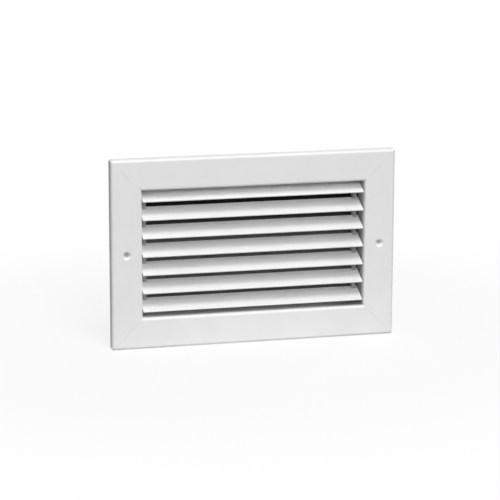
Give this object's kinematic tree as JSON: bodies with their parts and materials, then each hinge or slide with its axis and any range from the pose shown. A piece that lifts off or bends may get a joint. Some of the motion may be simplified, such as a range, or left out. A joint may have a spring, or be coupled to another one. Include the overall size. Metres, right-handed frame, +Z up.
{
  "type": "louvred air grille",
  "caption": "Rectangular white return-air grille: a mitred flat frame with two countersunk screw holes round a bank of fixed sloping louvres on two upright bars.",
  "frame": {"origin": "half way between the two face screw holes, in the plane where their bores leave the back of the face; this is also the centre of the face's outline", "axes": "+X to the right seen from the room, +Y into the wall and the duct, +Z up"},
  "size_m": [0.2984, 0.0254, 0.1968],
  "materials": {
    "white_coat": "satin white powder coat on aluminium",
    "mill_aluminium": "mill-finish aluminium",
    "zinc_steel": "bright zinc plate"
  },
  "bodies": {
    "root": {"frame_top": "white_coat", "frame_bottom": "white_coat", "frame_left": "white_coat", "frame_right": "white_coat", "corner_key_top_left": "mill_aluminium", "corner_key_top_right": "mill_aluminium", "corner_key_bottom_left": "mill_aluminium", "corner_key_bottom_right": "mill_aluminium", "louvre_1": "white_coat", "louvre_2": "white_coat", "louvre_3": "white_coat", "louvre_4": "white_coat", "louvre_5": "white_coat", "louvre_6": "white_coat", "louvre_7": "white_coat", "mullion_left": "white_coat", "mullion_right": "white_coat", "mullion_screw_top_left": "zinc_steel", "mullion_screw_top_right": "zinc_steel", "mullion_screw_bottom_left": "zinc_steel", "mullion_screw_bottom_right": "zinc_steel"}
  },
  "joints": []
}
